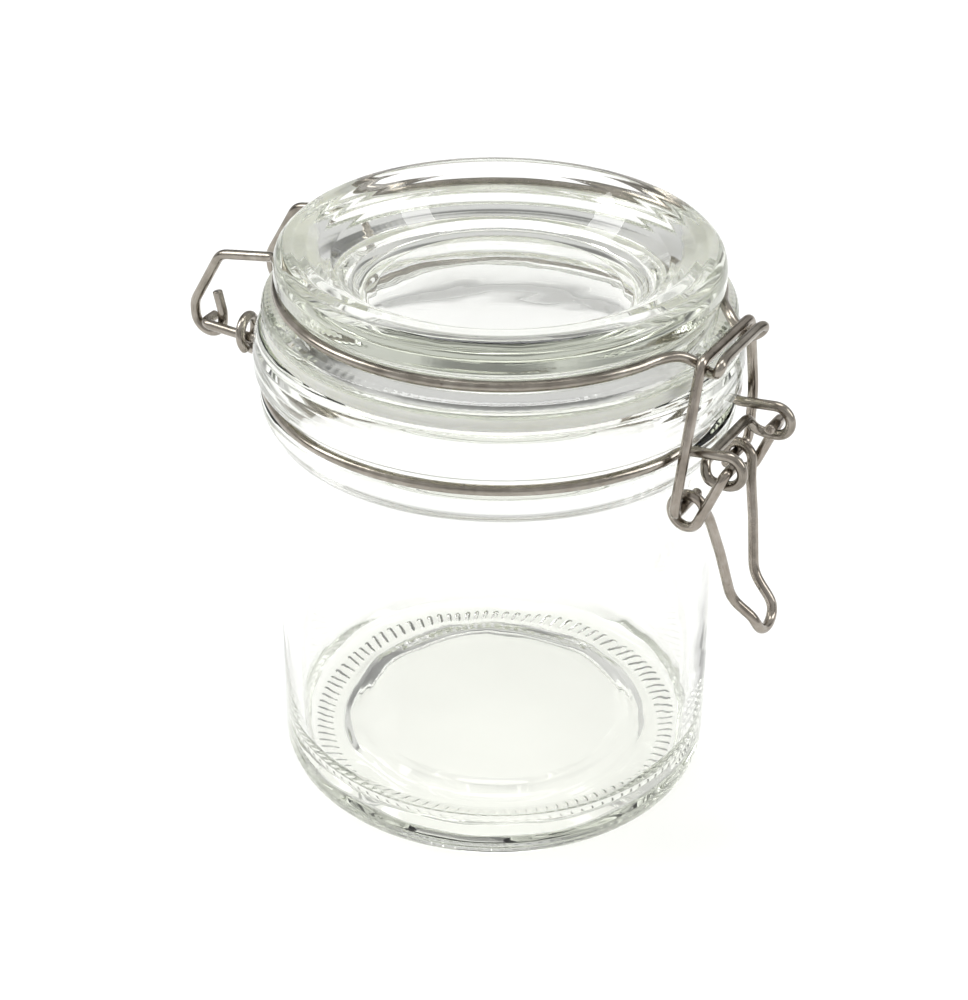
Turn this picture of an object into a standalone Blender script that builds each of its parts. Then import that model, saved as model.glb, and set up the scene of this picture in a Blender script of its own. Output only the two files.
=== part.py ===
"""Half-litre glass storage jar with a wire clip-top lid.

Frame: +Z is up, the base stands on z = 0, and the origin is the middle of the
whole plan, wires included. The latch is on the +X side and the lid's hinge is on
the -X side. Lengths below are in millimetres from the jar's own axis, which stands
at x = AXIS_X, and are scaled to metres as the objects are made.
"""
import math

import bpy

MM = 0.001
AXIS_X = 1.65                # the jar's axis, from the middle of the whole plan

# ------------------------------------------------------------ driving sizes
WIRE_D = 2.1                 # all five wire pieces are bent from one gauge
WIRE_R = WIRE_D / 2
WIRE_SIDES_RES = 2           # bevel resolution: eight-sided wire

BODY_R = 45.0                # outside of the straight wall
WALL = 3.0
HEEL_R = 4.0                 # rounding where the wall meets the base
STAND_IN_R = 34.5            # inner edge of the flat standing ring
STAND_OUT_R = 41.0           # outer edge of the flat standing ring
FLANGE_R = 48.35             # bead round the mouth
RIDGE_R = 47.3               # ridge that keeps the neck wire from slipping down
NECK_GROOVE_R = 44.9
MOUTH_R = 39.8               # clear bore of the mouth
RIM_Z = 100.0                # sealing land of the jar

SEAL_T = 2.3
SEAL_OUT_R = 46.1
SEAL_IN_R = 38.95
SEAL_GAP = 0.15              # running gap drawn each side of the seal

LID_LAND_Z = RIM_Z + SEAL_T + 2 * SEAL_GAP
LID_TOP_Z = 116.7
LID_RIM_R = 43.7
LID_FLANGE_R = 46.4
LID_GROOVE_R = 42.0
PLUG_R = 38.6
DISH_FLOOR_Z = 106.5

NECK_WIRE_R, NECK_WIRE_Z = 47.1, 88.9        # at the latch side
NECK_WIRE_REAR_R, NECK_WIRE_REAR_Z = 46.2, 88.4   # pulled into its groove at the hinge
LID_WIRE_R, LID_WIRE_Z = 43.2, 108.0

# hinge (latch side is +X, so the hinge sits at negative X)
HINGE_X, HINGE_Z = -60.4, 89.9       # axis of the two hinge pins
LEG_Y = 13.5                         # the lid wire's two legs
ARM_Y = 16.1                         # the bracket's two arms
BRACKET_X, BRACKET_Z = -47.0, 89.6   # its straight back, lying in the neck groove
REAR_EYE_R = 3.5
REAR_EYE_Y, REAR_EYE_Z = 15.0, 89.9  # the eye's middle, round the bracket's arm
HOOK_X, HOOK_Z, HOOK_R = -60.7, 90.3, 3.45   # the lid wire's hooks round the pins

# latch
PIVOT_X, PIVOT_Z = 55.3, 87.5        # axis of the lever's two pins in the neck eyes
EYE_Y = 11.1                         # plane of the neck wire's front eyes
EYE_R = 3.1
EYE_X = 54.9
BRIDGE_X, BRIDGE_Z = 49.7, 87.2
LINK_Y = 13.3
LOOP_X, LOOP_Z, LOOP_R = 47.75, 77.2, 3.1
LOOP_Y_OUT, LOOP_Y_IN = 13.2, 10.9
BAIL_X, BAIL_Z = 47.2, 78.0          # axis of the bail's two bent-in ends
BAIL_Y = 16.9                        # at the lever's loops
BAIL_SHOULDER_Y, BAIL_SHOULDER_Z = 15.5, 90.2   # clears the lever's links as it swings
CROSSBAR_X, CROSSBAR_Z, CROSSBAR_Y = 48.1, 107.9, 10.8
TONGUE_X, TONGUE_Z, TONGUE_Y = 51.3, 108.1, 10.7
HANDLE_TIP_X, HANDLE_TIP_Z, HANDLE_TIP_Y = 61.1, 48.4, 3.8

LATHE_STEPS = 60
RING_STEP = math.radians(5.0)
BEND_STEP = math.radians(18.0)


# ------------------------------------------------------------ vector helpers
def add(a, b, k=1.0):
    return tuple(p + k * q for p, q in zip(a, b))


def sub(a, b):
    return tuple(p - q for p, q in zip(a, b))


def dot(a, b):
    return sum(p * q for p, q in zip(a, b))


def length(a):
    return math.sqrt(dot(a, a))


def unit(a):
    n = length(a)
    return tuple(p / n for p in a)


def filleted(points, radii, step=BEND_STEP):
    """A bent wire's centre line: straight runs joined by arcs of the given radii."""
    out = [points[0]]
    for before, corner, after, radius in zip(points, points[1:], points[2:], radii):
        u, v = unit(sub(before, corner)), unit(sub(after, corner))
        angle = math.acos(max(-1.0, min(1.0, dot(u, v))))
        if angle > math.pi - 0.02:
            out.append(corner)
            continue
        half = angle / 2
        cut = min(radius / math.tan(half),
                  0.48 * length(sub(before, corner)), 0.48 * length(sub(after, corner)))
        radius = cut * math.tan(half)
        centre = add(corner, unit(add(u, v)), radius / math.sin(half))
        start, end = add(corner, u, cut), add(corner, v, cut)
        a, b = unit(sub(start, centre)), unit(sub(end, centre))
        sweep = math.acos(max(-1.0, min(1.0, dot(a, b))))
        n = max(2, math.ceil(sweep / step))
        for i in range(n + 1):
            t = i / n
            w0 = math.sin((1 - t) * sweep) / math.sin(sweep)
            w1 = math.sin(t * sweep) / math.sin(sweep)
            out.append(add(centre, add(tuple(w0 * p for p in a), b, w1), radius))
    out.append(points[-1])
    return out


def smooth_run(points, per_span=4):
    """A smooth curve through the points, as in a bend made over a former."""
    ext = [add(points[0], sub(points[0], points[1]))] + list(points) + [
        add(points[-1], sub(points[-1], points[-2]))]
    out = []
    for i in range(1, len(ext) - 2):
        p0, p1, p2, p3 = ext[i - 1:i + 3]
        for s in range(per_span):
            t = s / per_span
            out.append(tuple(
                0.5 * (2 * b + (c - a) * t + (2 * a - 5 * b + 4 * c - d) * t * t
                       + (3 * b - a - 3 * c + d) * t ** 3)
                for a, b, c, d in zip(p0, p1, p2, p3)))
    out.append(points[-1])
    return out


def ring_arc(radius, z, start, end):
    n = max(1, math.ceil(abs(end - start) / RING_STEP))
    return [(radius * math.cos(start + (end - start) * i / n),
             radius * math.sin(start + (end - start) * i / n), z) for i in range(n + 1)]


def spaced(points, least=0.25):
    """Leaves out points closer together than a bend needs."""
    out = [points[0]]
    for p in points[1:-1]:
        if length(sub(p, out[-1])) > least and length(sub(p, points[-1])) > least:
            out.append(p)
    out.append(points[-1])
    return out


def mirrored(points):
    return [(x, -y, z) for x, y, z in reversed(points)]


# ------------------------------------------------------------ scene helpers
for old in list(bpy.data.objects):
    bpy.data.objects.remove(old)


def material(name, colour, roughness, metallic=0.0, transmission=0.0, ior=1.5):
    mat = bpy.data.materials.new(name)
    mat.use_nodes = True
    shader = mat.node_tree.nodes["Principled BSDF"]
    shader.inputs["Base Color"].default_value = (*colour, 1.0)
    shader.inputs["Roughness"].default_value = roughness
    shader.inputs["Metallic"].default_value = metallic
    shader.inputs["Transmission Weight"].default_value = transmission
    shader.inputs["IOR"].default_value = ior
    return mat


GLASS = material("clear_glass", (0.90, 0.94, 0.91), 0.03, transmission=1.0, ior=1.52)
STEEL = material("stainless_wire", (0.62, 0.59, 0.55), 0.26, metallic=1.0)
SEAL = material("silicone_seal", (0.80, 0.80, 0.74), 0.45, transmission=0.25, ior=1.41)


def axis_empty(name, x, z, parent=None):
    empty = bpy.data.objects.new(name, None)
    empty.empty_display_size = 0.01
    bpy.context.scene.collection.objects.link(empty)
    place = ((x + AXIS_X) * MM, 0.0, z * MM)
    if parent is not None:
        empty.parent = parent
        place = sub(place, tuple(world_of(parent)))
    empty.location = place
    return empty


def world_of(obj):
    where = tuple(obj.location)
    while obj.parent is not None:
        obj = obj.parent
        where = add(where, tuple(obj.location))
    return where


def settle(obj, mat, parent):
    """Links the object and hangs it on its joint's empty, its origin on the axis."""
    obj.data.materials.append(mat)
    bpy.context.scene.collection.objects.link(obj)
    if parent is not None:
        obj.parent = parent
    return obj


def offset_for(parent):
    return world_of(parent) if parent is not None else (0.0, 0.0, 0.0)


def turned(name, profile, mat, parent=None):
    """A solid of revolution. The profile is a closed outline that runs from the
    axis along the underside, up the outer side and back in over the top, or a
    closed ring that stays clear of the axis."""
    shift = offset_for(parent)
    closed_ring = min(r for r, _ in profile) > 1e-6
    verts, faces, rings = [], [], []
    for r, z in profile:
        if r < 1e-6:
            rings.append([len(verts)])
            verts.append((AXIS_X * MM - shift[0], -shift[1], z * MM - shift[2]))
            continue
        rings.append(list(range(len(verts), len(verts) + LATHE_STEPS)))
        for s in range(LATHE_STEPS):
            a = 2 * math.pi * s / LATHE_STEPS
            verts.append(((r * math.cos(a) + AXIS_X) * MM - shift[0],
                          r * MM * math.sin(a) - shift[1], z * MM - shift[2]))
    pairs = list(zip(rings, rings[1:]))
    if closed_ring:
        pairs.append((rings[-1], rings[0]))
    for low, high in pairs:
        for s in range(LATHE_STEPS):
            t = (s + 1) % LATHE_STEPS
            if len(low) == 1:
                faces.append((low[0], high[t], high[s]))
            elif len(high) == 1:
                faces.append((low[s], low[t], high[0]))
            else:
                faces.append((low[s], low[t], high[t], high[s]))
    mesh = bpy.data.meshes.new(name)
    mesh.from_pydata(verts, [], faces)
    mesh.validate()
    mesh.shade_smooth()
    mesh.set_sharp_from_angle(angle=math.radians(40))
    return settle(bpy.data.objects.new(name, mesh), mat, parent)


def wire(name, points, parent=None):
    """One length of round wire along the points, with flat cut ends."""
    shift = offset_for(parent)
    points = spaced(points)
    curve = bpy.data.curves.new(name, "CURVE")
    curve.dimensions = "3D"
    curve.twist_mode = "MINIMUM"
    curve.bevel_depth = WIRE_R * MM
    curve.bevel_resolution = WIRE_SIDES_RES
    curve.use_fill_caps = True
    spline = curve.splines.new("POLY")
    spline.points.add(len(points) - 1)
    for slot, p in zip(spline.points, points):
        slot.co = ((p[0] + AXIS_X) * MM - shift[0], p[1] * MM - shift[1],
                   p[2] * MM - shift[2], 1.0)
    spline.use_smooth = True
    return settle(bpy.data.objects.new(name, curve), STEEL, parent)


LID_AXIS = axis_empty("lid_hinge_axis", HINGE_X, HINGE_Z)
LEVER_AXIS = axis_empty("lever_axis", PIVOT_X, PIVOT_Z)
BAIL_AXIS = axis_empty("bail_axis", BAIL_X, BAIL_Z, LEVER_AXIS)

# ------------------------------------------------------------ glass jar
INNER_R = BODY_R - WALL
jar_profile = [
    (0.0, 4.0), (12.0, 3.9), (22.0, 3.6), (28.5, 3.1), (31.2, 2.2), (33.0, 0.7),
    (STAND_IN_R, 0.0), (STAND_OUT_R, 0.0), (43.0, 0.55), (44.4, 1.9),
    (BODY_R, HEEL_R), (BODY_R, 79.5), (45.4, 81.2), (46.5, 82.7),
    (RIDGE_R, 84.2), (RIDGE_R, 86.2), (46.7, 87.0), (NECK_GROOVE_R, 87.5),
    (NECK_GROOVE_R, 90.3), (46.6, 90.8), (47.9, 91.2), (FLANGE_R, 92.2),
    (FLANGE_R, 95.4), (48.0, 97.6), (47.4, 99.2), (46.8, 99.8), (46.2, RIM_Z),
    (40.6, RIM_Z), (39.95, 99.6), (MOUTH_R, 98.9), (MOUTH_R, 87.0), (40.4, 84.0),
    (41.6, 80.5), (INNER_R, 78.0), (INNER_R, 13.0), (41.5, 10.0), (39.8, 7.7),
    (37.0, 6.7), (33.5, 6.9), (30.0, 7.8), (15.0, 8.4), (0.0, 8.6),
]
turned("glass_jar", jar_profile, GLASS)

# ------------------------------------------------------------ lid and seal
lid_profile = [
    (0.0, 102.0), (30.0, 101.8), (31.6, 101.3), (33.2, 98.9), (34.2, 98.4),
    (37.6, 98.4), (38.3, 99.0), (PLUG_R, 102.1), (39.1, LID_LAND_Z),
    (45.7, LID_LAND_Z), (LID_FLANGE_R, 103.3), (LID_FLANGE_R, 104.5), (45.8, 105.4),
    (44.4, 106.0), (42.8, 106.4), (LID_GROOVE_R, 107.0), (LID_GROOVE_R, 109.0),
    (42.9, 109.6), (LID_RIM_R, 110.4), (LID_RIM_R, 113.3), (43.2, 114.9),
    (41.8, 116.1), (39.8, LID_TOP_Z), (37.4, 116.5), (35.0, 115.4), (32.6, 113.4),
    (30.6, 110.9), (28.6, 108.4), (26.4, 106.9), (24.0, DISH_FLOOR_Z), (0.0, 106.8),
]
turned("glass_lid", lid_profile, GLASS, LID_AXIS)

seal_low = RIM_Z + SEAL_GAP
seal_profile = [
    (SEAL_IN_R + 0.3, seal_low), (SEAL_OUT_R - 0.5, seal_low), (SEAL_OUT_R, seal_low + 0.5),
    (SEAL_OUT_R, seal_low + SEAL_T - 0.5), (SEAL_OUT_R - 0.5, seal_low + SEAL_T),
    (SEAL_IN_R + 0.5, seal_low + SEAL_T), (SEAL_IN_R, seal_low + SEAL_T - 0.5),
    (SEAL_IN_R, seal_low + 0.3),
]
turned("seal_ring", seal_profile, SEAL, LID_AXIS)


# ------------------------------------------------------------ neck ring wire
REAR_LEAVE = 157.0           # degrees round from the latch where each end leaves the groove


def neck_arc(start, end):
    """The wire in its groove: a touch slack at the latch, drawn in at the hinge."""
    out = []
    for x, y, z in ring_arc(1.0, 0.0, start, end):
        turn = abs(math.degrees(math.atan2(y, x)))
        t = max(0.0, min(1.0, (turn - 100.0) / 30.0))
        t = t * t * (3 - 2 * t)
        r = NECK_WIRE_R + (NECK_WIRE_REAR_R - NECK_WIRE_R) * t
        out.append((x * r, y * r, NECK_WIRE_Z + (NECK_WIRE_REAR_Z - NECK_WIRE_Z) * t))
    return out


def front_eye_half():
    """Half of the front of the neck wire, from the groove through one eye to the
    middle of the bridge that joins the two eyes. The half with negative y."""
    leave = math.asin(15.4 / NECK_WIRE_R)
    ring = neck_arc(-math.radians(REAR_LEAVE), -leave)
    upper = filleted(
        [ring[-1], (45.8, -EYE_Y, 89.3), (EYE_X, -EYE_Y, PIVOT_Z + EYE_R - 0.1)],
        [2.6])
    eye = [(EYE_X + EYE_R * math.cos(a), -EYE_Y, PIVOT_Z - 0.1 + EYE_R * math.sin(a))
           for a in [math.radians(d) for d in range(90, -91, -20)]]
    lower = filleted(
        [(EYE_X, -EYE_Y, PIVOT_Z - 0.1 - EYE_R), (50.9, -EYE_Y, PIVOT_Z - 0.15 - EYE_R),
         (BRIDGE_X, -EYE_Y + 1.5, BRIDGE_Z), (BRIDGE_X, 0.0, BRIDGE_Z)], [2.2, 1.6])
    return ring[:-1] + upper[:-1] + eye + lower[1:]


def rear_eye():
    """The cut end of the neck wire: out of the groove, under the bracket's arm
    and once round it. The end with negative y, running into the groove."""
    turn = []
    first, last = math.radians(222), math.radians(-72)
    n = 16
    for i in range(n + 1):
        t = i / n
        a = first + (last - first) * t
        turn.append((-48.8 - 1.9 * min(1.0, 1.6 * t), -REAR_EYE_Y + REAR_EYE_R * math.cos(a),
                     REAR_EYE_Z + REAR_EYE_R * math.sin(a)))
    groove = neck_arc(-math.radians(REAR_LEAVE + 0.4), -math.radians(REAR_LEAVE))
    run = filleted([turn[-1], (-49.7, -REAR_EYE_Y + 0.2, 86.25), groove[0], groove[-1]], [1.6, 2.4])
    return turn[:-1] + run


neck_half = rear_eye() + front_eye_half()
neck_path = neck_half[:-1] + mirrored(neck_half)
wire("neck_ring_wire", neck_path)

# ------------------------------------------------------------ hinge bracket wire
bracket_half = filleted(
    [(HINGE_X, -11.7, HINGE_Z), (HINGE_X, -ARM_Y, HINGE_Z),
     (BRACKET_X, -ARM_Y, BRACKET_Z), (BRACKET_X, 0.0, BRACKET_Z)], [1.7, 1.5])
wire("hinge_bracket_wire", bracket_half[:-1] + mirrored(bracket_half))


# ------------------------------------------------------------ lid ring wire
def lid_hook():
    """One leg of the lid wire, from its cut end round the hinge pin, up and over
    to the lid's groove. The leg with negative y."""
    cx, cz, r = HOOK_X, HOOK_Z, HOOK_R
    bowl = [(cx + r * math.cos(a), -LEG_Y, cz + r * math.sin(a))
            for a in [math.radians(d) for d in range(0, -181, -20)]]
    stub = [(-58.3, -LEG_Y, 96.6), (cx + r + 0.1, -LEG_Y, 92.0)]
    tail = filleted(
        [(cx - r, -LEG_Y, cz), (cx - r, -LEG_Y, 92.9), (-57.0, -LEG_Y, 105.1),
         (-43.4, -LEG_Y, LID_WIRE_Z - 0.3), lid_groove_start()], [4.0, 3.4, 2.6])
    return stub + bowl + tail[1:]


def lid_groove_start():
    a = math.pi + math.asin(18.5 / LID_WIRE_R)
    return (LID_WIRE_R * math.cos(a), LID_WIRE_R * math.sin(a), LID_WIRE_Z)


def tongue_half():
    """From the groove out under the crossbar and up to the middle of the tip."""
    a = math.asin(17.5 / LID_WIRE_R)
    on_ring = (LID_WIRE_R * math.cos(a), -17.5, LID_WIRE_Z)
    out_run = smooth_run([
        on_ring, (41.3, -13.6, 108.15), (43.6, -10.6, 108.0), (46.0, -8.8, 106.7),
        (48.3, -8.35, 105.15), (50.3, -8.9, 105.75), (TONGUE_X - 0.15, -TONGUE_Y, 107.1),
    ], 3)
    tip = filleted([out_run[-1], (TONGUE_X, -TONGUE_Y + 0.3, TONGUE_Z + 0.2),
                    (TONGUE_X, 0.0, TONGUE_Z)], [1.6])
    return out_run[:-1] + tip


lid_start = math.pi + math.asin(18.5 / LID_WIRE_R)
lid_end = 2 * math.pi - math.asin(17.5 / LID_WIRE_R)
lid_half = (lid_hook()[:-1] + ring_arc(LID_WIRE_R, LID_WIRE_Z, lid_start, lid_end)[:-1]
            + tongue_half())
wire("lid_ring_wire", lid_half[:-1] + mirrored(lid_half), LID_AXIS)

# ------------------------------------------------------------ locking lever
link_base = math.atan2(PIVOT_Z - LOOP_Z, PIVOT_X - LOOP_X)
link_reach = math.hypot(PIVOT_Z - LOOP_Z, PIVOT_X - LOOP_X)
touch = link_base - math.acos(LOOP_R / link_reach)     # where the link meets the loop
depart = math.radians(12.0) - 2 * math.pi              # where the handle leaves it
loop = []
for i in range(19):
    t = i / 18
    a = touch + (depart - touch) * t
    loop.append((LOOP_X + LOOP_R * math.cos(a), -(LOOP_Y_OUT + (LOOP_Y_IN - LOOP_Y_OUT) * t),
                 LOOP_Z + LOOP_R * math.sin(a)))
pin_and_link = filleted([(PIVOT_X, -6.8, PIVOT_Z), (PIVOT_X, -LINK_Y, PIVOT_Z), loop[0]], [1.7])
leg = filleted([loop[-1], (51.4, -9.4, 74.9), (53.3, -7.6, 67.0), (55.3, -5.3, 56.0),
                (HANDLE_TIP_X - 0.9, -HANDLE_TIP_Y, HANDLE_TIP_Z + 3.4),
                (HANDLE_TIP_X, -HANDLE_TIP_Y + 0.2, HANDLE_TIP_Z),
                (HANDLE_TIP_X, 0.0, HANDLE_TIP_Z)], [12.0, 30.0, 7.0, 8.0, 3.3])
lever_half = pin_and_link[:-1] + loop[:-1] + leg
wire("lever_handle", lever_half[:-1] + mirrored(lever_half), LEVER_AXIS)

# ------------------------------------------------------------ locking bail
bail_half = filleted(
    [(BAIL_X, -6.2, BAIL_Z), (BAIL_X, -BAIL_Y, BAIL_Z),
     (48.0, -BAIL_SHOULDER_Y, BAIL_SHOULDER_Z),
     (CROSSBAR_X, -CROSSBAR_Y, CROSSBAR_Z), (CROSSBAR_X, 0.0, CROSSBAR_Z)],
    [1.7, 40.0, 1.9])
wire("locking_bail", bail_half[:-1] + mirrored(bail_half), BAIL_AXIS)

bpy.context.view_layer.update()
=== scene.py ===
"""Looks of the half-litre clip-top jar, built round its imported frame.

Sizes are millimetres from the jar's own axis, as in the CAD, and are scaled to
metres and moved to the frame's origin as each mesh is made.
"""
import math

import bpy
from mathutils import Matrix, Vector, noise


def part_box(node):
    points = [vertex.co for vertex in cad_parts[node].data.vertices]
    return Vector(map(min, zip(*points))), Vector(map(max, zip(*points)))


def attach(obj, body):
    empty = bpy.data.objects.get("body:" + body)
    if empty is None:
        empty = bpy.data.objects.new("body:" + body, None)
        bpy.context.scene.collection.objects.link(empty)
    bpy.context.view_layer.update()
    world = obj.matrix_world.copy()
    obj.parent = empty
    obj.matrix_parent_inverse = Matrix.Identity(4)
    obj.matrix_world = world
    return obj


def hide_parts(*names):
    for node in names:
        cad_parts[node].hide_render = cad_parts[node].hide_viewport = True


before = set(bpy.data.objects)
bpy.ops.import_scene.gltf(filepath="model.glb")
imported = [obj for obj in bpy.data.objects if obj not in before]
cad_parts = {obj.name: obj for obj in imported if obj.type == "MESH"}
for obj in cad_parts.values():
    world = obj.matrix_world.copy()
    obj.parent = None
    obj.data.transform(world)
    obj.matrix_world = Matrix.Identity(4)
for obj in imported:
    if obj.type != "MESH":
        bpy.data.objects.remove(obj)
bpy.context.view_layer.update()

MM = 0.001
_lo, _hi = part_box("glass_jar")
AXIS_X = (_lo.x + _hi.x) / 2 / MM

# ------------------------------------------------------------ driving sizes
WIRE_R = 1.02
BODY_R, WALL, HEEL_R = 45.0, 3.0, 4.0
STAND_IN_R, STAND_OUT_R = 34.5, 41.0
FLANGE_R, RIDGE_R, NECK_GROOVE_R, MOUTH_R, RIM_Z = 48.35, 47.3, 44.9, 39.8, 100.0
SEAL_T, SEAL_OUT_R, SEAL_IN_R, SEAL_GAP = 2.3, 46.1, 38.95, 0.15
LID_LAND_Z = RIM_Z + SEAL_T + 2 * SEAL_GAP
LID_TOP_Z, LID_RIM_R, LID_FLANGE_R, LID_GROOVE_R = 116.7, 43.7, 46.4, 42.0
PLUG_R, DISH_FLOOR_Z = 38.6, 106.5
NECK_WIRE_R, NECK_WIRE_Z = 47.1, 88.9
NECK_WIRE_REAR_R, NECK_WIRE_REAR_Z = 46.2, 88.4
LID_WIRE_R, LID_WIRE_Z = 43.2, 108.0
HINGE_X, HINGE_Z = -60.4, 89.9
LEG_Y, ARM_Y = 13.5, 16.1
BRACKET_X, BRACKET_Z = -47.0, 89.6
REAR_EYE_R, REAR_EYE_Y, REAR_EYE_Z = 3.5, 15.0, 89.9
REAR_LEAVE = 157.0
HOOK_X, HOOK_Z, HOOK_R = -60.7, 90.3, 3.45
PIVOT_X, PIVOT_Z = 55.3, 87.5
EYE_Y, EYE_R, EYE_X = 11.1, 3.1, 54.9
BRIDGE_X, BRIDGE_Z = 49.7, 87.2
LINK_Y = 13.3
LOOP_X, LOOP_Z, LOOP_R = 47.75, 77.2, 3.1
LOOP_Y_OUT, LOOP_Y_IN = 13.2, 10.9
BAIL_X, BAIL_Z, BAIL_Y = 47.2, 78.0, 16.9
BAIL_SHOULDER_Y, BAIL_SHOULDER_Z = 15.5, 90.2
CROSSBAR_X, CROSSBAR_Z, CROSSBAR_Y = 48.1, 107.9, 10.8
TONGUE_X, TONGUE_Z, TONGUE_Y = 51.3, 108.1, 10.7
HANDLE_TIP_X, HANDLE_TIP_Z, HANDLE_TIP_Y = 61.1, 48.4, 3.8

RING_STEP = math.radians(1.5)
BEND_STEP = math.radians(6.0)
SEGMENTS = 720


# ------------------------------------------------------------ vector helpers
def add(a, b, k=1.0):
    return tuple(p + k * q for p, q in zip(a, b))


def sub(a, b):
    return tuple(p - q for p, q in zip(a, b))


def dot(a, b):
    return sum(p * q for p, q in zip(a, b))


def length(a):
    return math.sqrt(dot(a, a))


def unit(a):
    n = length(a)
    return tuple(p / n for p in a)


def filleted(points, radii, step=None):
    """Straight runs joined by arcs of the given radii, in two or three dimensions."""
    step = step or BEND_STEP
    out = [points[0]]
    for before, corner, after, radius in zip(points, points[1:], points[2:], radii):
        u, v = unit(sub(before, corner)), unit(sub(after, corner))
        angle = math.acos(max(-1.0, min(1.0, dot(u, v))))
        if angle > math.pi - 0.02 or radius <= 0:
            out.append(corner)
            continue
        half = angle / 2
        cut = min(radius / math.tan(half),
                  0.48 * length(sub(before, corner)), 0.48 * length(sub(after, corner)))
        radius = cut * math.tan(half)
        centre = add(corner, unit(add(u, v)), radius / math.sin(half))
        start, end = add(corner, u, cut), add(corner, v, cut)
        a, b = unit(sub(start, centre)), unit(sub(end, centre))
        sweep = math.acos(max(-1.0, min(1.0, dot(a, b))))
        n = max(2, math.ceil(sweep / step))
        for i in range(n + 1):
            t = i / n
            w0 = math.sin((1 - t) * sweep) / math.sin(sweep)
            w1 = math.sin(t * sweep) / math.sin(sweep)
            out.append(add(centre, add(tuple(w0 * p for p in a), b, w1), radius))
    out.append(points[-1])
    return out


def smooth_run(points, per_span=10):
    ext = [add(points[0], sub(points[0], points[1]))] + list(points) + [
        add(points[-1], sub(points[-1], points[-2]))]
    out = []
    for i in range(1, len(ext) - 2):
        p0, p1, p2, p3 = ext[i - 1:i + 3]
        for s in range(per_span):
            t = s / per_span
            out.append(tuple(
                0.5 * (2 * b + (c - a) * t + (2 * a - 5 * b + 4 * c - d) * t * t
                       + (3 * b - a - 3 * c + d) * t ** 3)
                for a, b, c, d in zip(p0, p1, p2, p3)))
    out.append(points[-1])
    return out


def ring_arc(radius, z, start, end):
    n = max(1, math.ceil(abs(end - start) / RING_STEP))
    return [(radius * math.cos(start + (end - start) * i / n),
             radius * math.sin(start + (end - start) * i / n), z) for i in range(n + 1)]


def mirrored(points):
    return [(x, -y, z) for x, y, z in reversed(points)]


def resampled(points, spacing):
    """Points at even spacing along the run, corners rounded off a little."""
    clean = [points[0]]
    for p in points[1:]:
        if length(sub(p, clean[-1])) > 1e-4:
            clean.append(p)
    marks = [0.0]
    for a, b in zip(clean, clean[1:]):
        marks.append(marks[-1] + length(sub(b, a)))
    n = max(8, int(round(marks[-1] / spacing)))
    out, k = [], 0
    for i in range(n + 1):
        s = marks[-1] * i / n
        while k < len(clean) - 2 and marks[k + 1] < s:
            k += 1
        span = max(1e-9, marks[k + 1] - marks[k])
        out.append(add(clean[k], sub(clean[k + 1], clean[k]), (s - marks[k]) / span))
    for _ in range(2):
        out = [out[0]] + [tuple(0.25 * a + 0.5 * b + 0.25 * c for a, b, c in zip(p, q, r))
                          for p, q, r in zip(out, out[1:], out[2:])] + [out[-1]]
    return out


# ------------------------------------------------------------ shader helpers
def new_material(name):
    mat = bpy.data.materials.new(name)
    mat.use_nodes = True
    tree = mat.node_tree
    return mat, tree, tree.nodes["Principled BSDF"], tree.nodes["Material Output"]


def node(tree, kind, **settings):
    made = tree.nodes.new(kind)
    for key, value in settings.items():
        if key in made.inputs:
            made.inputs[key].default_value = value
        else:
            setattr(made, key, value)
    return made


def ramp(tree, stops):
    made = tree.nodes.new("ShaderNodeValToRGB")
    elements = made.color_ramp.elements
    while len(elements) > 1:
        elements.remove(elements[-1])
    elements[0].position, elements[0].color = stops[0][0], stops[0][1]
    for position, colour in stops[1:]:
        elements.new(position).color = colour
    return made


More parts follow.
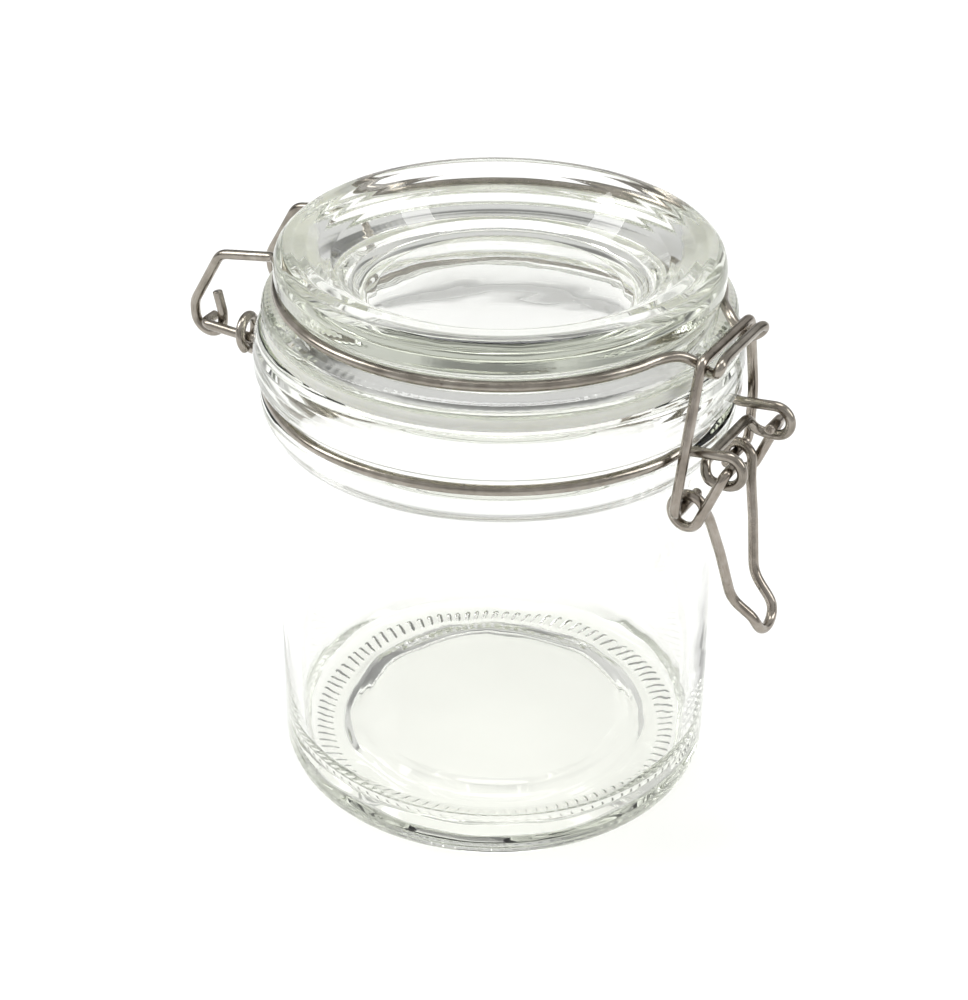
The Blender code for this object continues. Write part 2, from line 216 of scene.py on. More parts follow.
def glass_material(name, tint, density, rough_low, rough_high, wave, fine):
    """Pressed soda-lime glass: a faint green-grey body tint that shows in its
    thick edges, slow waves left by the mould, and light handling marks."""
    mat, tree, shader, out = new_material(name)
    link = tree.links.new
    shader.inputs["Base Color"].default_value = (0.988, 0.989, 0.982, 1)
    shader.inputs["Transmission Weight"].default_value = 1.0
    shader.inputs["IOR"].default_value = 1.51
    coords = node(tree, "ShaderNodeTexCoord")
    marks = node(tree, "ShaderNodeTexNoise", Scale=160.0, Detail=5.0, Roughness=0.6)
    link(coords.outputs["Object"], marks.inputs["Vector"])
    rough = ramp(tree, [(0.45, (rough_low,) * 3 + (1,)), (0.78, (rough_high,) * 3 + (1,))])
    link(marks.outputs["Fac"], rough.inputs["Fac"])
    link(rough.outputs["Color"], shader.inputs["Roughness"])
    slow = node(tree, "ShaderNodeTexNoise", Scale=34.0, Detail=2.0, Roughness=0.45, Distortion=0.6)
    link(coords.outputs["Object"], slow.inputs["Vector"])
    quick = node(tree, "ShaderNodeTexNoise", Scale=240.0, Detail=3.0, Roughness=0.5)
    link(coords.outputs["Object"], quick.inputs["Vector"])
    first = node(tree, "ShaderNodeBump", Strength=1.0, Distance=wave)
    link(slow.outputs["Fac"], first.inputs["Height"])
    second = node(tree, "ShaderNodeBump", Strength=1.0, Distance=fine)
    link(quick.outputs["Fac"], second.inputs["Height"])
    link(first.outputs["Normal"], second.inputs["Normal"])
    link(second.outputs["Normal"], shader.inputs["Normal"])
    # Lamps and bounced light pass through, so the floor stays as bright as under real glass.
    clear = node(tree, "ShaderNodeBsdfTransparent", Color=(0.965, 0.966, 0.957, 1))
    path = node(tree, "ShaderNodeLightPath")
    either = node(tree, "ShaderNodeMath", operation="MAXIMUM")
    link(path.outputs["Is Shadow Ray"], either.inputs[0])
    link(path.outputs["Is Diffuse Ray"], either.inputs[1])
    mix = node(tree, "ShaderNodeMixShader")
    link(either.outputs[0], mix.inputs["Fac"])
    link(shader.outputs["BSDF"], mix.inputs[1])
    link(clear.outputs["BSDF"], mix.inputs[2])
    link(mix.outputs[0], out.inputs["Surface"])
    absorb = node(tree, "ShaderNodeVolumeAbsorption", Color=(*tint, 1), Density=density)
    link(absorb.outputs["Volume"], out.inputs["Volume"])
    return mat


def steel_material(name, warm):
    """Drawn stainless wire: die lines along its length, slightly uneven polish,
    a warm grey film and a few dark pits."""
    mat, tree, shader, _ = new_material(name)
    link = tree.links.new
    shader.inputs["Metallic"].default_value = 1.0
    uv = node(tree, "ShaderNodeUVMap", uv_map="along")
    stretch = node(tree, "ShaderNodeMapping")
    stretch.inputs["Scale"].default_value = (0.045, 1.0, 1.0)
    link(uv.outputs["UV"], stretch.inputs["Vector"])
    lines = node(tree, "ShaderNodeTexNoise", Scale=9.0, Detail=6.0, Roughness=0.65)
    link(stretch.outputs["Vector"], lines.inputs["Vector"])
    coords = node(tree, "ShaderNodeTexCoord")
    blotch = node(tree, "ShaderNodeTexNoise", Scale=210.0, Detail=4.0, Roughness=0.6)
    link(coords.outputs["Object"], blotch.inputs["Vector"])
    both = node(tree, "ShaderNodeMix", data_type="FLOAT")
    both.inputs[0].default_value = 0.5
    link(lines.outputs["Fac"], both.inputs[2])
    link(blotch.outputs["Fac"], both.inputs[3])
    colour = ramp(tree, [(0.30, (0.125 + 0.01 * warm, 0.115, 0.095, 1)),
                         (0.50, (0.30 + 0.015 * warm, 0.28, 0.24, 1)),
                         (0.74, (0.50 + 0.015 * warm, 0.475, 0.43, 1))])
    link(both.outputs[0], colour.inputs["Fac"])
    pits = node(tree, "ShaderNodeTexVoronoi", Scale=330.0)
    link(coords.outputs["Object"], pits.inputs["Vector"])
    pit_mask = ramp(tree, [(0.05, (1, 1, 1, 1)), (0.11, (0, 0, 0, 1))])
    link(pits.outputs["Distance"], pit_mask.inputs["Fac"])
    dark = node(tree, "ShaderNodeMix", data_type="RGBA", blend_type="MIX")
    link(pit_mask.outputs["Color"], dark.inputs[0])
    link(colour.outputs["Color"], dark.inputs[6])
    dark.inputs[7].default_value = (0.13, 0.11, 0.09, 1)
    link(dark.outputs[2], shader.inputs["Base Color"])
    rough = ramp(tree, [(0.25, (0.10, 0.10, 0.10, 1)), (0.75, (0.25, 0.25, 0.25, 1))])
    link(both.outputs[0], rough.inputs["Fac"])
    link(rough.outputs["Color"], shader.inputs["Roughness"])
    bump = node(tree, "ShaderNodeBump", Strength=0.35, Distance=0.00004)
    link(lines.outputs["Fac"], bump.inputs["Height"])
    dents = node(tree, "ShaderNodeBump", Strength=0.5, Distance=0.00012)
    link(blotch.outputs["Fac"], dents.inputs["Height"])
    link(bump.outputs["Normal"], dents.inputs["Normal"])
    link(dents.outputs["Normal"], shader.inputs["Normal"])
    return mat


def seal_material(name):
    """Pale translucent silicone: a waxy body, moulding grain and a dusty skin."""
    mat, tree, shader, _ = new_material(name)
    link = tree.links.new
    coords = node(tree, "ShaderNodeTexCoord")
    cloud = node(tree, "ShaderNodeTexNoise", Scale=60.0, Detail=4.0, Roughness=0.55)
    link(coords.outputs["Object"], cloud.inputs["Vector"])
    colour = ramp(tree, [(0.30, (0.76, 0.77, 0.69, 1)), (0.70, (0.88, 0.885, 0.83, 1))])
    link(cloud.outputs["Fac"], colour.inputs["Fac"])
    link(colour.outputs["Color"], shader.inputs["Base Color"])
    shader.inputs["Transmission Weight"].default_value = 0.25
    shader.inputs["IOR"].default_value = 1.41
    shader.inputs["Subsurface Weight"].default_value = 0.45
    shader.inputs["Subsurface Radius"].default_value = (1.0, 1.0, 0.8)
    shader.inputs["Subsurface Scale"].default_value = 0.004
    rough = ramp(tree, [(0.2, (0.36,) * 3 + (1,)), (0.8, (0.58,) * 3 + (1,))])
    grain = node(tree, "ShaderNodeTexNoise", Scale=900.0, Detail=3.0, Roughness=0.6)
    link(coords.outputs["Object"], grain.inputs["Vector"])
    link(grain.outputs["Fac"], rough.inputs["Fac"])
    link(rough.outputs["Color"], shader.inputs["Roughness"])
    bump = node(tree, "ShaderNodeBump", Strength=0.3, Distance=0.00005)
    link(grain.outputs["Fac"], bump.inputs["Height"])
    link(bump.outputs["Normal"], shader.inputs["Normal"])
    return mat


JAR_GLASS = glass_material("jar_glass", (0.90, 0.92, 0.855), 21.0, 0.0, 0.03, 0.00022, 0.000004)
LID_GLASS = glass_material("lid_glass", (0.90, 0.92, 0.855), 21.0, 0.0, 0.03, 0.00022, 0.000004)
RING_STEEL = steel_material("wire_rings", 0.6)
LATCH_STEEL = steel_material("wire_latch", 1.0)
SILICONE = seal_material("silicone")


# ------------------------------------------------------------ mesh helpers
def place(obj, body, cad_node):
    bpy.context.scene.collection.objects.link(obj)
    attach(obj, body)
    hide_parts(cad_node)
    return obj


def turned(name, profile, mat, body, cad_node, shape=None):
    """A solid of revolution from a closed outline. shape(r, z, angle) may move
    each point a little, for knurling and for the mould's unevenness."""
    verts, faces, rings = [], [], []
    ring_shape = min(r for r, _ in profile) > 1e-6
    for r, z in profile:
        if r < 1e-6:
            rings.append([len(verts)])
            verts.append((AXIS_X * MM, 0.0, z * MM))
            continue
        rings.append(list(range(len(verts), len(verts) + SEGMENTS)))
        for s in range(SEGMENTS):
            a = 2 * math.pi * s / SEGMENTS
            pr, pz = shape(r, z, a) if shape else (r, z)
            verts.append(((pr * math.cos(a) + AXIS_X) * MM, pr * math.sin(a) * MM, pz * MM))
    pairs = list(zip(rings, rings[1:]))
    if ring_shape:
        pairs.append((rings[-1], rings[0]))
    for low, high in pairs:
        for s in range(SEGMENTS):
            t = (s + 1) % SEGMENTS
            if len(low) == 1:
                faces.append((low[0], high[t], high[s]))
            elif len(high) == 1:
                faces.append((low[s], low[t], high[0]))
            else:
                faces.append((low[s], low[t], high[t], high[s]))
    mesh = bpy.data.meshes.new(name)
    mesh.from_pydata(verts, [], faces)
    mesh.validate()
    mesh.shade_smooth()
    mesh.materials.append(mat)
    return place(bpy.data.objects.new(name, mesh), body, cad_node)


def wire(name, points, mat, body, cad_node, seed=0.0, sides=24):
    """Round wire along the points, its cut ends slightly chamfered. Its map holds
    the distance along the wire and the turn round it, for the die lines."""
    path = resampled(points, 0.45)
    tangents = []
    for i in range(len(path)):
        a, b = path[max(0, i - 1)], path[min(len(path) - 1, i + 1)]
        tangents.append(Vector(unit(sub(b, a))))
    side = tangents[0].orthogonal().normalized()
    sides_at = [side]
    for i in range(1, len(path)):
        turn = tangents[i - 1].rotation_difference(tangents[i])
        side = (turn @ side)
        side = (side - side.dot(tangents[i]) * tangents[i]).normalized()
        sides_at.append(side)
    rings = []
    ends = [(0, -0.0, 0.0, 0.55), (0, 0.02, 0.0, 0.80), (0, 0.10, 0.0, 0.93), (0, 0.26, 0.0, 1.0)]
    for k, along, _, scale in ends:
        rings.append((Vector(path[0]) + tangents[0] * along, tangents[0], sides_at[0], scale, along))
    run = 0.0
    for i in range(1, len(path) - 1):
        run += length(sub(path[i], path[i - 1]))
        rings.append((Vector(path[i]), tangents[i], sides_at[i], 1.0, run))
    total = run + length(sub(path[-1], path[-2]))
    for k, along, _, scale in reversed(ends):
        rings.append((Vector(path[-1]) - tangents[-1] * along, tangents[-1], sides_at[-1], scale,
                      total - along))
    verts, faces, corner_uv = [], [], []
    for centre, tangent, s, scale, run in rings:
        other = tangent.cross(s)
        for j in range(sides):
            a = 2 * math.pi * j / sides
            # a hair of unevenness from bending over the former
            uneven = 1.0 + 0.008 * noise.noise(Vector((run * 0.22 + seed, a * 0.6, seed * 1.7)))
            p = centre + (s * math.cos(a) + other * math.sin(a)) * (WIRE_R * scale * uneven)
            verts.append(((p.x + AXIS_X) * MM, p.y * MM, p.z * MM))
    for i in range(len(rings) - 1):
        for j in range(sides):
            k = (j + 1) % sides
            faces.append((i * sides + j, i * sides + k, (i + 1) * sides + k, (i + 1) * sides + j))
            u0, u1 = rings[i][4], rings[i + 1][4]
            v0, v1 = j / sides * 6.6, (j + 1) / sides * 6.6
            corner_uv += [(u0, v0), (u0, v1), (u1, v1), (u1, v0)]
    first, last = len(verts), len(verts) + 1
    for centre, *_ in (rings[0], rings[-1]):
        verts.append(((centre.x + AXIS_X) * MM, centre.y * MM, centre.z * MM))
    base = (len(rings) - 1) * sides
    for j in range(sides):
        k = (j + 1) % sides
        faces.append((first, k, j))
        faces.append((last, base + j, base + k))
        corner_uv += [(0.0, 0.0), (0.0, k * 0.2), (0.0, j * 0.2)] * 2
    mesh = bpy.data.meshes.new(name)
    mesh.from_pydata(verts, [], faces)
    layer = mesh.uv_layers.new(name="along")
    for slot_uv, (u, v) in zip(layer.data, corner_uv):
        slot_uv.uv = (u, v)
    mesh.shade_smooth()
    mesh.set_sharp_from_angle(angle=math.radians(50))
    mesh.materials.append(mat)
    return place(bpy.data.objects.new(name, mesh), body, cad_node)


def soft_profile(points, radii):
    """The outline with its corners eased. Each entry is (r, z)."""
    return filleted(points, radii[1:-1], math.radians(15))


def slow(x, y, z, seed):
    return noise.noise(Vector((x * 0.045 + seed, y * 0.045 - seed, z * 0.045 + 2 * seed)))


# ------------------------------------------------------------ jar
KNURLS = 100


def jar_shape(r, z, a):
    x, y = r * math.cos(a), r * math.sin(a)
    inner = z > 5.0 and (r < MOUTH_R + 2.4) or (z >= 6.0 and r < 43.0)
    if z < 5.5 and r < 44.6:
        # underside: the bearing ring's short ticks and the push-up's uneven edge
        if 35.4 < r < 41.4:
            fade = min(1.0, (r - 35.4) / 1.2, (41.4 - r) / 1.2)
            tick = max(0.0, math.cos(KNURLS * a + 0.55 * (r - 38.4))) ** 2
            z += 0.62 * tick * fade
        if 24.6 < r < 34.4:
            edge = 1.0 - abs(r - 29.6) / 5.0
            z += max(0.0, edge) * 0.35 * noise.noise(Vector((2.3 * math.cos(a), 2.3 * math.sin(a), 4.0)))
            r += max(0.0, edge) * 1.5 * noise.noise(Vector((2.4 * math.cos(a), 2.4 * math.sin(a), 9.0)))
    elif inner:
        r -= 0.28 * slow(x, y, z * 0.6, 5.0) if r > 36 and z > 9 else 0.0
        if z < 9.5:
            z += 0.28 * noise.noise(Vector((x * 0.05, y * 0.05, 3.0)))
    return r, z


jar_outline = [
    (0.0, 3.6), (14.0, 3.6), (22.0, 3.6), (25.5, 3.6), (28.0, 3.45), (29.8, 2.5), (31.6, 0.7),
    (STAND_IN_R, 0.0), (35.4, 0.0), (36.0, 0.0), (36.6, 0.0), (37.6, 0.0), (38.6, 0.0),
    (39.6, 0.0), (40.2, 0.0), (STAND_OUT_R, 0.0), (43.0, 0.55), (44.4, 1.9),
    (BODY_R, HEEL_R), (BODY_R, 20.0), (BODY_R, 40.0), (BODY_R, 60.0), (BODY_R, 79.5),
    (45.4, 81.2), (46.5, 82.7),
    (RIDGE_R, 84.2), (RIDGE_R, 86.2), (46.7, 87.0), (NECK_GROOVE_R, 87.5),
    (NECK_GROOVE_R, 90.3), (46.6, 90.8), (47.9, 91.2), (FLANGE_R, 92.2),
    (FLANGE_R, 95.4), (48.0, 97.6), (47.4, 99.2), (46.8, 99.8), (46.2, RIM_Z),
    (40.6, RIM_Z), (39.95, 99.6), (MOUTH_R, 98.9), (MOUTH_R, 87.0), (40.4, 84.0),
    (41.6, 80.5), (42.0, 78.0), (42.0, 60.0), (42.0, 40.0), (42.0, 24.0), (42.0, 13.0),
    (41.5, 10.0), (39.8, 7.7), (37.0, 6.7), (33.6, 6.5), (31.6, 6.9), (29.4, 8.1), (27.6, 8.6), (22.0, 8.55),
    (15.0, 8.5), (8.0, 8.5), (0.0, 8.6),
]
jar_radii = [3.0 if r > 1 else 0.0 for r, _ in jar_outline]
turned("jar_glass_body", soft_profile(jar_outline, jar_radii), JAR_GLASS, "base", "glass_jar",
       jar_shape)


# ------------------------------------------------------------ lid
def lid_shape(r, z, a):
    x, y = r * math.cos(a), r * math.sin(a)
    if z > 105.0 and r < 43.0:
        z -= 0.10 + 0.14 * slow(x, y, z, 11.0) if r < 41 else 0.0
    if z < 103.0 and r < 38.0:
        z += 0.16 + 0.2 * slow(x, y, z, 17.0)
    if 44.0 < r < 45.9 and 104.6 < z < 106.3:
        # a fine milled band on the shoulder, under the wire
        z -= 0.03 * max(0.0, math.cos(150 * a)) * (1 - abs(r - 44.9) / 1.2)
    if r > 42.6 and 109.8 < z < 113.6:
        # shallow flutes round the rim's wall, fading out up and down
        fade = max(0.0, 1 - abs(z - 111.4) / 1.9)
        r += 0.012 * fade * math.cos(180 * a)
    if r > 46.0 and 103.2 < z < 104.8:
        r += 0.018 * math.cos(120 * a + 0.4)
    return r, z


lid_outline = [
    (0.0, 102.0), (15.0, 101.9), (30.0, 101.8), (31.6, 101.3), (33.2, 98.9), (34.2, 98.5),
    (37.6, 98.5), (38.3, 99.0), (PLUG_R, 102.1), (39.1, LID_LAND_Z),
    (45.7, LID_LAND_Z), (LID_FLANGE_R, 103.3), (LID_FLANGE_R, 104.5), (45.8, 105.4),
    (45.3, 105.6), (44.9, 105.8), (44.4, 106.0), (42.8, 106.4), (LID_GROOVE_R, 107.0),
    (LID_GROOVE_R, 109.0),
    (42.9, 109.6), (LID_RIM_R, 110.4), (LID_RIM_R, 111.0), (LID_RIM_R, 111.6), (LID_RIM_R, 112.2),
    (LID_RIM_R, 113.3), (43.2, 114.9),
    (41.8, 116.1), (39.8, LID_TOP_Z), (37.4, 116.5), (35.0, 115.4), (32.6, 113.4),
    (30.6, 110.9), (28.6, 108.4), (26.4, 106.9), (24.0, DISH_FLOOR_Z), (12.0, 106.6), (0.0, 106.8),
]
lid_radii = [2.4 if r > 1 else 0.0 for r, _ in lid_outline]
turned("lid_glass_body", soft_profile(lid_outline, lid_radii), LID_GLASS, "lid", "glass_lid",
       lid_shape)

# ------------------------------------------------------------ seal
seal_low = RIM_Z + SEAL_GAP
seal_outline = [
    (SEAL_IN_R + 0.3, seal_low), (42.0, seal_low), (SEAL_OUT_R - 0.5, seal_low),
    (SEAL_OUT_R - 0.12, seal_low + 0.16), (SEAL_OUT_R, seal_low + 0.55), (SEAL_OUT_R, seal_low + 1.0),
    (SEAL_OUT_R - 0.1, seal_low + 1.15), (SEAL_OUT_R, seal_low + 1.3),
    (SEAL_OUT_R, seal_low + SEAL_T - 0.5), (SEAL_OUT_R - 0.14, seal_low + SEAL_T - 0.15),
    (SEAL_OUT_R - 0.5, seal_low + SEAL_T), (42.0, seal_low + SEAL_T),
    (SEAL_IN_R + 0.5, seal_low + SEAL_T), (SEAL_IN_R + 0.14, seal_low + SEAL_T - 0.14),
    (SEAL_IN_R, seal_low + SEAL_T - 0.5), (SEAL_IN_R, seal_low + 0.3),
]
turned("seal_silicone_ring", seal_outline, SILICONE, "lid", "seal_ring")


# ------------------------------------------------------------ neck ring wire
def neck_arc(start, end):
    out = []
    for x, y, z in ring_arc(1.0, 0.0, start, end):
        turn = abs(math.degrees(math.atan2(y, x)))
        t = max(0.0, min(1.0, (turn - 100.0) / 30.0))
        t = t * t * (3 - 2 * t)
        r = NECK_WIRE_R + (NECK_WIRE_REAR_R - NECK_WIRE_R) * t
        out.append((x * r, y * r, NECK_WIRE_Z + (NECK_WIRE_REAR_Z - NECK_WIRE_Z) * t))
    return out


def front_eye_half():
    leave = math.asin(15.4 / NECK_WIRE_R)
    ring = neck_arc(-math.radians(REAR_LEAVE), -leave)
    upper = filleted(
        [ring[-1], (45.8, -EYE_Y, 89.3), (EYE_X, -EYE_Y, PIVOT_Z + EYE_R - 0.1)], [2.6])
    eye = [(EYE_X + EYE_R * math.cos(a), -EYE_Y, PIVOT_Z - 0.1 + EYE_R * math.sin(a))
           for a in [math.radians(d) for d in range(90, -91, -6)]]
    lower = filleted(
        [(EYE_X, -EYE_Y, PIVOT_Z - 0.1 - EYE_R), (50.9, -EYE_Y, PIVOT_Z - 0.15 - EYE_R),
         (BRIDGE_X, -EYE_Y + 1.5, BRIDGE_Z), (BRIDGE_X, 0.0, BRIDGE_Z)], [2.2, 1.6])
    return ring[:-1] + upper[:-1] + eye + lower[1:]


def rear_eye():
    turn = []
    first, last = math.radians(222), math.radians(-72)
    n = 60
    for i in range(n + 1):
        t = i / n
        a = first + (last - first) * t
        turn.append((-48.8 - 1.9 * min(1.0, 1.6 * t), -REAR_EYE_Y + REAR_EYE_R * math.cos(a),
                     REAR_EYE_Z + REAR_EYE_R * math.sin(a)))
    groove = neck_arc(-math.radians(REAR_LEAVE + 0.4), -math.radians(REAR_LEAVE))
    run = filleted([turn[-1], (-49.7, -REAR_EYE_Y + 0.2, 86.25), groove[0], groove[-1]], [1.6, 2.4])
    return turn[:-1] + run


neck_half = rear_eye() + front_eye_half()
wire("neck_ring", neck_half[:-1] + mirrored(neck_half), RING_STEEL, "base", "neck_ring_wire",
     1.0)

# ------------------------------------------------------------ hinge bracket wire
bracket_half = filleted(
    [(HINGE_X, -11.7, HINGE_Z), (HINGE_X, -ARM_Y, HINGE_Z),
     (BRACKET_X, -ARM_Y, BRACKET_Z), (BRACKET_X, 0.0, BRACKET_Z)], [1.7, 1.5])
wire("hinge_bracket", bracket_half[:-1] + mirrored(bracket_half), RING_STEEL, "base",
     "hinge_bracket_wire", 2.0)


# ------------------------------------------------------------ lid ring wire
def lid_groove_start():
    a = math.pi + math.asin(18.5 / LID_WIRE_R)
    return (LID_WIRE_R * math.cos(a), LID_WIRE_R * math.sin(a), LID_WIRE_Z)


def lid_hook():
    cx, cz, r = HOOK_X, HOOK_Z, HOOK_R
    bowl = [(cx + r * math.cos(a), -LEG_Y, cz + r * math.sin(a))
            for a in [math.radians(d) for d in range(0, -181, -6)]]
    stub = [(-58.3, -LEG_Y, 96.6), (cx + r + 0.1, -LEG_Y, 92.0)]
    tail = filleted(
        [(cx - r, -LEG_Y, cz), (cx - r, -LEG_Y, 92.9), (-57.0, -LEG_Y, 105.1),
         (-43.4, -LEG_Y, LID_WIRE_Z - 0.3), lid_groove_start()], [4.0, 3.4, 2.6])
    return stub + bowl + tail[1:]


def tongue_half():
    a = math.asin(17.5 / LID_WIRE_R)
    on_ring = (LID_WIRE_R * math.cos(a), -17.5, LID_WIRE_Z)
    return smooth_run([
        on_ring, (41.3, -13.6, 108.15), (43.6, -10.6, 108.0), (46.0, -8.8, 106.7),
        (48.3, -8.35, 105.15), (49.9, -8.9, 105.35), (51.1, -9.9, 106.3),
        (51.5, -9.5, 107.5), (TONGUE_X, -7.4, 108.0), (TONGUE_X, -3.6, TONGUE_Z),
        (TONGUE_X, 0.0, TONGUE_Z)])


lid_start = math.pi + math.asin(18.5 / LID_WIRE_R)
lid_end = 2 * math.pi - math.asin(17.5 / LID_WIRE_R)
lid_half = (lid_hook()[:-1] + ring_arc(LID_WIRE_R, LID_WIRE_Z, lid_start, lid_end)[:-1]
            + tongue_half())
wire("lid_ring", lid_half[:-1] + mirrored(lid_half), RING_STEEL, "lid", "lid_ring_wire",
     3.0)

# ------------------------------------------------------------ lever
link_base = math.atan2(PIVOT_Z - LOOP_Z, PIVOT_X - LOOP_X)
link_reach = math.hypot(PIVOT_Z - LOOP_Z, PIVOT_X - LOOP_X)
touch = link_base - math.acos(LOOP_R / link_reach)
depart = math.radians(12.0) - 2 * math.pi
loop = []
for i in range(61):
    t = i / 60
    a = touch + (depart - touch) * t
    loop.append((LOOP_X + LOOP_R * math.cos(a), -(LOOP_Y_OUT + (LOOP_Y_IN - LOOP_Y_OUT) * t),
                 LOOP_Z + LOOP_R * math.sin(a)))
pin_and_link = filleted([(PIVOT_X, -6.8, PIVOT_Z), (PIVOT_X, -LINK_Y, PIVOT_Z), loop[0]], [1.7])
legs = filleted([loop[-1], (51.4, -9.4, 74.9), (53.3, -7.6, 67.0), (55.3, -5.3, 56.0),
                 (HANDLE_TIP_X - 0.9, -HANDLE_TIP_Y, HANDLE_TIP_Z + 3.4),
                 (HANDLE_TIP_X, -HANDLE_TIP_Y, HANDLE_TIP_Z)], [12.0, 30.0, 7.0, 8.0])
# the two legs run together in a half-round turn over the handle's last few millimetres
fine = resampled(legs, 0.06)
TURN_RUN = 3.4
leg = []
for i, (x, y, z) in enumerate(fine):
    left = (len(fine) - 1 - i) * 0.06
    t = max(0.0, (TURN_RUN - left) / TURN_RUN)
    leg.append((x, y * math.sqrt(max(0.0, 1 - t * t)), z))
lever_half = pin_and_link[:-1] + loop[:-1] + leg
wire("lever", lever_half[:-1] + mirrored(lever_half), LATCH_STEEL, "lever", "lever_handle",
     4.0)

# ------------------------------------------------------------ bail
bail_half = filleted(
    [(BAIL_X, -6.2, BAIL_Z), (BAIL_X, -BAIL_Y, BAIL_Z),
     (48.0, -BAIL_SHOULDER_Y, BAIL_SHOULDER_Z),
     (CROSSBAR_X, -CROSSBAR_Y, CROSSBAR_Z), (CROSSBAR_X, 0.0, CROSSBAR_Z)],
    [1.7, 40.0, 1.9])
wire("bail", bail_half[:-1] + mirrored(bail_half), LATCH_STEEL, "bail", "locking_bail",
     5.0)


# ------------------------------------------------------------ floor
def floor_material():
    mat, tree, shader, _ = new_material("studio_floor")
    link = tree.links.new
    coords = node(tree, "ShaderNodeTexCoord")
    grain = node(tree, "ShaderNodeTexNoise", Scale=40.0, Detail=4.0)
    link(coords.outputs["Object"], grain.inputs["Vector"])
    colour = ramp(tree, [(0.3, (0.965, 0.965, 0.965, 1)), (0.7, (0.975, 0.975, 0.975, 1))])
    link(grain.outputs["Fac"], colour.inputs["Fac"])
    link(colour.outputs["Color"], shader.inputs["Base Color"])
    shader.inputs["Roughness"].default_value = 0.9
    shader.inputs["Specular IOR Level"].default_value = 0.1
    return mat


floor_mesh = bpy.data.meshes.new("studio_floor")
n = 48
floor_verts, floor_faces = [(0.0, 0.0, -0.0002)], []
rings = [0.3, 0.8, 1.6, 3.0]
for rr in rings:
    floor_verts += [(rr * math.cos(2 * math.pi * i / n), rr * math.sin(2 * math.pi * i / n), -0.0002)
                    for i in range(n)]
for i in range(n):
    j = (i + 1) % n
    floor_faces.append((0, 1 + i, 1 + j))
    for k in range(len(rings) - 1):
        b = 1 + k * n
        floor_faces.append((b + i, b + n + i, b + n + j, b + j))
floor_mesh.from_pydata(floor_verts, [], floor_faces)
floor_mesh.materials.append(floor_material())
floor = bpy.data.objects.new("studio_floor", floor_mesh)
bpy.context.scene.collection.objects.link(floor)

# ------------------------------------------------------------ studio light
world = bpy.data.worlds.new("studio")
bpy.context.scene.world = world
world.use_nodes = True
tree = world.node_tree
tree.nodes.clear()
out = tree.nodes.new("ShaderNodeOutputWorld")
back = tree.nodes.new("ShaderNodeBackground")
tree.links.new(back.outputs[0], out.inputs["Surface"])
coords = tree.nodes.new("ShaderNodeTexCoord")
split = tree.nodes.new("ShaderNodeSeparateXYZ")
tree.links.new(coords.outputs["Generated"], split.inputs[0])
# The room seen in glass and steel: white below, a bright band low down, dark above it,
# and a white ceiling broken by two darker gaps. The first ramp is the room that lights
# the scene and is seen through the glass. The second ramp is painted reflection: a darker
# banded room that only first glossy bounces see, so steel and glass show it though it lights nothing.
grade = ramp(tree, [(0.00, (0.92, 0.92, 0.92, 1)), (0.49, (0.90, 0.90, 0.90, 1)),
                    (0.53, (0.84, 0.84, 0.84, 1)), (0.62, (0.76, 0.76, 0.75, 1)),
                    (0.72, (0.76, 0.76, 0.75, 1)), (0.80, (0.82, 0.82, 0.82, 1)),
                    (0.88, (0.86, 0.86, 0.86, 1)), (0.93, (0.66, 0.66, 0.65, 1)),
                    (1.00, (0.66, 0.66, 0.66, 1))])
painted_reflection_room = ramp(tree, [(0.00, (0.90, 0.90, 0.90, 1)), (0.49, (0.80, 0.80, 0.79, 1)),
                     (0.52, (0.22, 0.22, 0.21, 1)), (0.60, (0.03, 0.03, 0.03, 1)),
                     (0.70, (0.05, 0.05, 0.05, 1)), (0.755, (0.80, 0.80, 0.80, 1)),
                     (0.81, (0.85, 0.85, 0.85, 1)), (0.85, (0.06, 0.06, 0.06, 1)),
                     (0.94, (0.05, 0.05, 0.05, 1)), (1.00, (0.45, 0.45, 0.45, 1))])
lift = tree.nodes.new("ShaderNodeMath")
lift.operation = "MULTIPLY_ADD"
lift.inputs[1].default_value = 0.5
lift.inputs[2].default_value = 0.5
tree.links.new(split.outputs["Z"], lift.inputs[0])
tree.links.new(lift.outputs[0], grade.inputs["Fac"])
tree.links.new(lift.outputs[0], painted_reflection_room.inputs["Fac"])
# Dark cards and doorways round the table: (direction, half-angle, softness, darkness).
shade = grade.outputs["Color"]
for towards, half, soft, dark in (((-0.80, 0.55, 0.28), 13, 6, 0.80), ((0.96, 0.20, 0.36), 13, 6, 0.85),
                                  ((-0.42, 0.80, 0.42), 9, 4, 0.70), ((0.30, -0.90, 0.55), 12, 6, 0.40),
                                  ((-0.90, -0.42, 0.22), 10, 5, 0.85), ((0.55, 0.80, 0.14), 9, 4, 0.80)):
    face = tree.nodes.new("ShaderNodeVectorMath")
    face.operation = "DOT_PRODUCT"
    face.inputs[1].default_value = Vector(towards).normalized()
    tree.links.new(coords.outputs["Generated"], face.inputs[0])
    edge = tree.nodes.new("ShaderNodeMapRange")
    edge.interpolation_type = "SMOOTHSTEP"
    edge.inputs["From Min"].default_value = math.cos(math.radians(half + soft))
    edge.inputs["From Max"].default_value = math.cos(math.radians(half - soft))
    edge.inputs["To Max"].default_value = dark
    tree.links.new(face.outputs["Value"], edge.inputs["Value"])
    card = tree.nodes.new("ShaderNodeMix")
    card.data_type = "RGBA"
    tree.links.new(edge.outputs["Result"], card.inputs[0])
    tree.links.new(shade, card.inputs[6])
    card.inputs[7].default_value = (0.03, 0.03, 0.028, 1)
    shade = card.outputs[2]
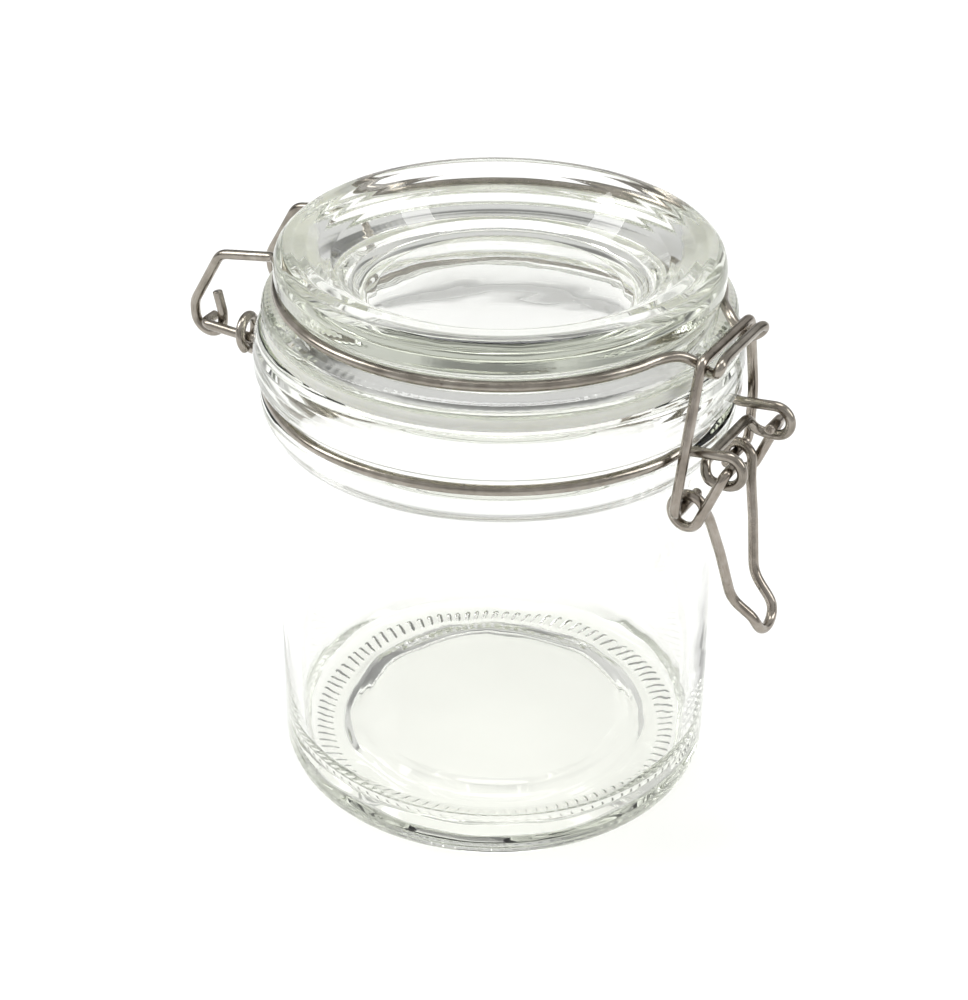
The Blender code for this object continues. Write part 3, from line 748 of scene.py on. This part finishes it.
# Painted reflection: glossy rays on their first bounce see the second, darker banded ramp in place of the
# lit room.
rays = tree.nodes.new("ShaderNodeLightPath")
choice = tree.nodes.new("ShaderNodeMix")
choice.data_type = "RGBA"
first_hit = tree.nodes.new("ShaderNodeMath")
first_hit.operation = "LESS_THAN"
first_hit.inputs[1].default_value = 1.5
tree.links.new(rays.outputs["Ray Depth"], first_hit.inputs[0])
painted_reflection_mask = tree.nodes.new("ShaderNodeMath")
painted_reflection_mask.operation = "MULTIPLY"
tree.links.new(rays.outputs["Is Glossy Ray"], painted_reflection_mask.inputs[0])
tree.links.new(first_hit.outputs[0], painted_reflection_mask.inputs[1])
tree.links.new(painted_reflection_mask.outputs[0], choice.inputs[0])
tree.links.new(shade, choice.inputs[6])
tree.links.new(painted_reflection_room.outputs["Color"], choice.inputs[7])
tree.links.new(choice.outputs[2], back.inputs["Color"])
back.inputs["Strength"].default_value = 0.84


def soft_box(name, where, target, size, power, tone=(1, 1, 1)):
    data = bpy.data.lights.new(name, "AREA")
    data.shape = "RECTANGLE"
    data.size, data.size_y = size
    data.energy = power
    data.color = tone
    made = bpy.data.objects.new(name, data)
    bpy.context.scene.collection.objects.link(made)
    made.location = where
    made.rotation_mode = "QUATERNION"
    made.rotation_quaternion = (Vector(target) - Vector(where)).to_track_quat("-Z", "Y")
    return made


soft_box("key_left", (-0.75, -0.35, 0.75), (0, 0, 0.06), (0.35, 0.7), 4.3)
soft_box("fill_right", (0.85, 0.25, 0.65), (0, 0, 0.06), (0.3, 0.7), 3.1)
soft_box("top", (-0.1, 0.15, 1.2), (0, 0, 0), (0.7, 0.5), 5.1)

# ------------------------------------------------------------ camera
TURN = math.radians(29.5)
PITCH, YAW, ROLL = math.radians(31.537), math.radians(-0.398), math.radians(0.584)
spin = Matrix.Rotation(TURN, 3, "Z")
forward = spin @ Vector((math.sin(YAW) * math.cos(PITCH), math.cos(YAW) * math.cos(PITCH),
                         -math.sin(PITCH)))
right = spin @ Vector((math.cos(YAW), -math.sin(YAW), 0.0))
up = right.cross(forward)
right2 = right * math.cos(ROLL) + up * math.sin(ROLL)
up2 = -right * math.sin(ROLL) + up * math.cos(ROLL)
lens = bpy.data.cameras.new("photo_view")
lens.sensor_width = 36.0
lens.lens = 2197.0 * 36.0 / 1000.0
lens.clip_start, lens.clip_end = 0.02, 20.0
camera = bpy.data.objects.new("photo_view", lens)
bpy.context.scene.collection.objects.link(camera)
camera.rotation_mode = "QUATERNION"
camera.matrix_world = Matrix((
    (right2.x, up2.x, -forward.x, 0), (right2.y, up2.y, -forward.y, 0),
    (right2.z, up2.z, -forward.z, 0), (0, 0, 0, 1)))
eye = spin @ Vector((0.0, -8.552, 6.537)) * 45.0
camera.location = ((eye.x + AXIS_X) * MM, eye.y * MM, eye.z * MM)
bpy.context.scene.camera = camera

scene = bpy.context.scene
scene.view_settings.view_transform = "Standard"
scene.cycles.max_bounces = 28
scene.cycles.transmission_bounces = 24
scene.cycles.glossy_bounces = 10
scene.cycles.transparent_max_bounces = 24
scene.cycles.caustics_reflective = False
scene.cycles.caustics_refractive = False
